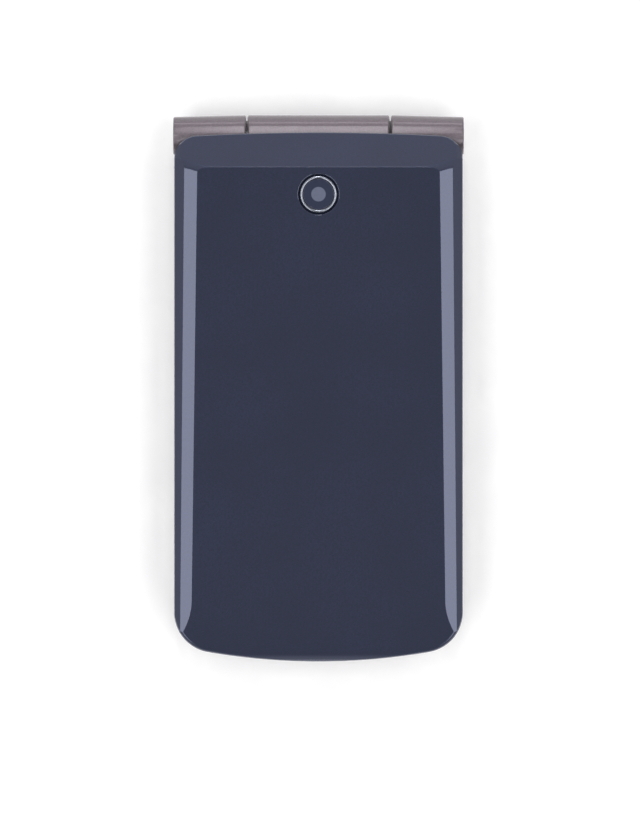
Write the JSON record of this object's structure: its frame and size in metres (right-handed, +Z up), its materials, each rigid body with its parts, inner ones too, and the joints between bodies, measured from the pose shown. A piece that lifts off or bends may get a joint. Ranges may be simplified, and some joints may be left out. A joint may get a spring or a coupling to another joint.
{
  "type": "folding mobile phone",
  "caption": "Closed folding mobile phone with a glossy dark lid, a camera in a bright ring, a metallic hinge barrel, and a keypad and display inside.",
  "frame": {"origin": "under the middle of the back, on the surface that the closed phone lies on", "axes": "+X across the phone to the right as the lid is seen, +Y from the chin towards the hinge, +Z up out of the lid"},
  "size_m": [0.052, 0.0976, 0.0185],
  "materials": {
    "navy_lacquer": "gloss",
    "metallic_paint": "satin metallic",
    "silver_frame_paint": "satin metallic",
    "housing_plastic": "fine matte",
    "chrome_trim": "polished",
    "camera_glass": "polished",
    "window_glass": "polished",
    "display_glass": "satin",
    "black_plastic": "matte",
    "board_laminate": "satin",
    "mesh_cloth": "matte",
    "soft_rubber": "matte",
    "steel": "satin",
    "flex_film": "satin",
    "battery_can": "printed sleeve",
    "gold_contacts": "plated",
    "antenna_plastic": "matte",
    "key_plastic": "gloss"
  },
  "bodies": {
    "base": {"base_front_frame": "metallic_paint", "base_rear_housing": "housing_plastic", "main_board": "board_laminate", "dome_sheet": "steel", "battery": "battery_can", "battery_connector": "black_plastic", "battery_contacts": "gold_contacts", "sim_holder": "steel", "shield_can": "steel", "loudspeaker": "black_plastic", "loudspeaker_mesh": "mesh_cloth", "vibration_motor": "steel", "antenna_carrier": "antenna_plastic", "microphone": "steel", "charging_socket": "steel", "base_screws": "steel", "hinge_cartridge": "steel", "hinge_spring": "steel", "hinge_bush": "steel", "hinge_caps": "metallic_paint", "volume_pin": "steel"},
    "lid": {"lid_outer_cover": "navy_lacquer", "lid_inner_frame": "silver_frame_paint", "hinge_barrel": "metallic_paint", "camera_ring": "chrome_trim", "camera_window": "camera_glass", "camera_module": "black_plastic", "display_window": "window_glass", "display_panel": "display_glass", "lid_board": "board_laminate", "earpiece": "black_plastic", "earpiece_mesh": "mesh_cloth", "lid_bumpers": "soft_rubber", "lid_screws": "steel", "lid_magnet": "steel", "hinge_cam_shaft": "steel", "hinge_flex": "flex_film"},
    "battery_cover": {"battery_cover": "housing_plastic"},
    "nav_rocker": {"nav_rocker": "metallic_paint"},
    "volume_rocker": {"volume_rocker": "key_plastic"},
    "key_1": {"key_1": "key_plastic"},
    "key_2": {"key_2": "key_plastic"},
    "key_3": {"key_3": "key_plastic"},
    "key_4": {"key_4": "key_plastic"},
    "key_5": {"key_5": "key_plastic"},
    "key_6": {"key_6": "key_plastic"},
    "key_7": {"key_7": "key_plastic"},
    "key_8": {"key_8": "key_plastic"},
    "key_9": {"key_9": "key_plastic"},
    "key_star": {"key_star": "key_plastic"},
    "key_0": {"key_0": "key_plastic"},
    "key_hash": {"key_hash": "key_plastic"},
    "soft_key_left": {"soft_key_left": "key_plastic"},
    "soft_key_right": {"soft_key_right": "key_plastic"},
    "call_key": {"call_key": "key_plastic"},
    "end_key": {"end_key": "key_plastic"},
    "ok_key": {"ok_key": "key_plastic"}
  },
  "joints": [
    {"name": "lid_hinge", "type": "hinge", "parent": "base", "child": "lid", "pos_m": [0, 0.04515, 0.0092], "axis": [-1, 0, 0], "range_deg": [0, 160]},
    {"name": "battery_cover_slide", "type": "slide", "parent": "base", "child": "battery_cover", "axis": [0, -1, 0], "range_m": [0, 0.005]},
    {"name": "nav_rocker_tilt", "type": "hinge", "parent": "base", "child": "nav_rocker", "pos_m": [0, 0.01515, 0.008], "axis": [1, 0, 0], "range_deg": [-2, 2], "stiffness_Nm_per_rad": 0.05},
    {"name": "volume_rocker_tilt", "type": "hinge", "parent": "base", "child": "volume_rocker", "pos_m": [-0.0234, 0.01715, 0.007], "axis": [0, 0, 1], "range_deg": [-2.5, 2.5], "stiffness_Nm_per_rad": 0.05},
    {"name": "key_1_press", "type": "slide", "parent": "base", "child": "key_1", "axis": [0, 0, -1], "range_m": [0, 0.00035], "stiffness_N_per_m": 180},
    {"name": "key_2_press", "type": "slide", "parent": "base", "child": "key_2", "axis": [0, 0, -1], "range_m": [0, 0.00035], "stiffness_N_per_m": 180},
    {"name": "key_3_press", "type": "slide", "parent": "base", "child": "key_3", "axis": [0, 0, -1], "range_m": [0, 0.00035], "stiffness_N_per_m": 180},
    {"name": "key_4_press", "type": "slide", "parent": "base", "child": "key_4", "axis": [0, 0, -1], "range_m": [0, 0.00035], "stiffness_N_per_m": 180},
    {"name": "key_5_press", "type": "slide", "parent": "base", "child": "key_5", "axis": [0, 0, -1], "range_m": [0, 0.00035], "stiffness_N_per_m": 180},
    {"name": "key_6_press", "type": "slide", "parent": "base", "child": "key_6", "axis": [0, 0, -1], "range_m": [0, 0.00035], "stiffness_N_per_m": 180},
    {"name": "key_7_press", "type": "slide", "parent": "base", "child": "key_7", "axis": [0, 0, -1], "range_m": [0, 0.00035], "stiffness_N_per_m": 180},
    {"name": "key_8_press", "type": "slide", "parent": "base", "child": "key_8", "axis": [0, 0, -1], "range_m": [0, 0.00035], "stiffness_N_per_m": 180},
    {"name": "key_9_press", "type": "slide", "parent": "base", "child": "key_9", "axis": [0, 0, -1], "range_m": [0, 0.00035], "stiffness_N_per_m": 180},
    {"name": "key_star_press", "type": "slide", "parent": "base", "child": "key_star", "axis": [0, 0, -1], "range_m": [0, 0.00035], "stiffness_N_per_m": 180},
    {"name": "key_0_press", "type": "slide", "parent": "base", "child": "key_0", "axis": [0, 0, -1], "range_m": [0, 0.00035], "stiffness_N_per_m": 180},
    {"name": "key_hash_press", "type": "slide", "parent": "base", "child": "key_hash", "axis": [0, 0, -1], "range_m": [0, 0.00035], "stiffness_N_per_m": 180},
    {"name": "soft_key_left_press", "type": "slide", "parent": "base", "child": "soft_key_left", "axis": [0, 0, -1], "range_m": [0, 0.00035], "stiffness_N_per_m": 180},
    {"name": "soft_key_right_press", "type": "slide", "parent": "base", "child": "soft_key_right", "axis": [0, 0, -1], "range_m": [0, 0.00035], "stiffness_N_per_m": 180},
    {"name": "call_key_press", "type": "slide", "parent": "base", "child": "call_key", "axis": [0, 0, -1], "range_m": [0, 0.00035], "stiffness_N_per_m": 180},
    {"name": "end_key_press", "type": "slide", "parent": "base", "child": "end_key", "axis": [0, 0, -1], "range_m": [0, 0.00035], "stiffness_N_per_m": 180},
    {"name": "ok_key_press", "type": "slide", "parent": "base", "child": "ok_key", "axis": [0, 0, -1], "range_m": [0, 0.00035], "stiffness_N_per_m": 180}
  ]
}
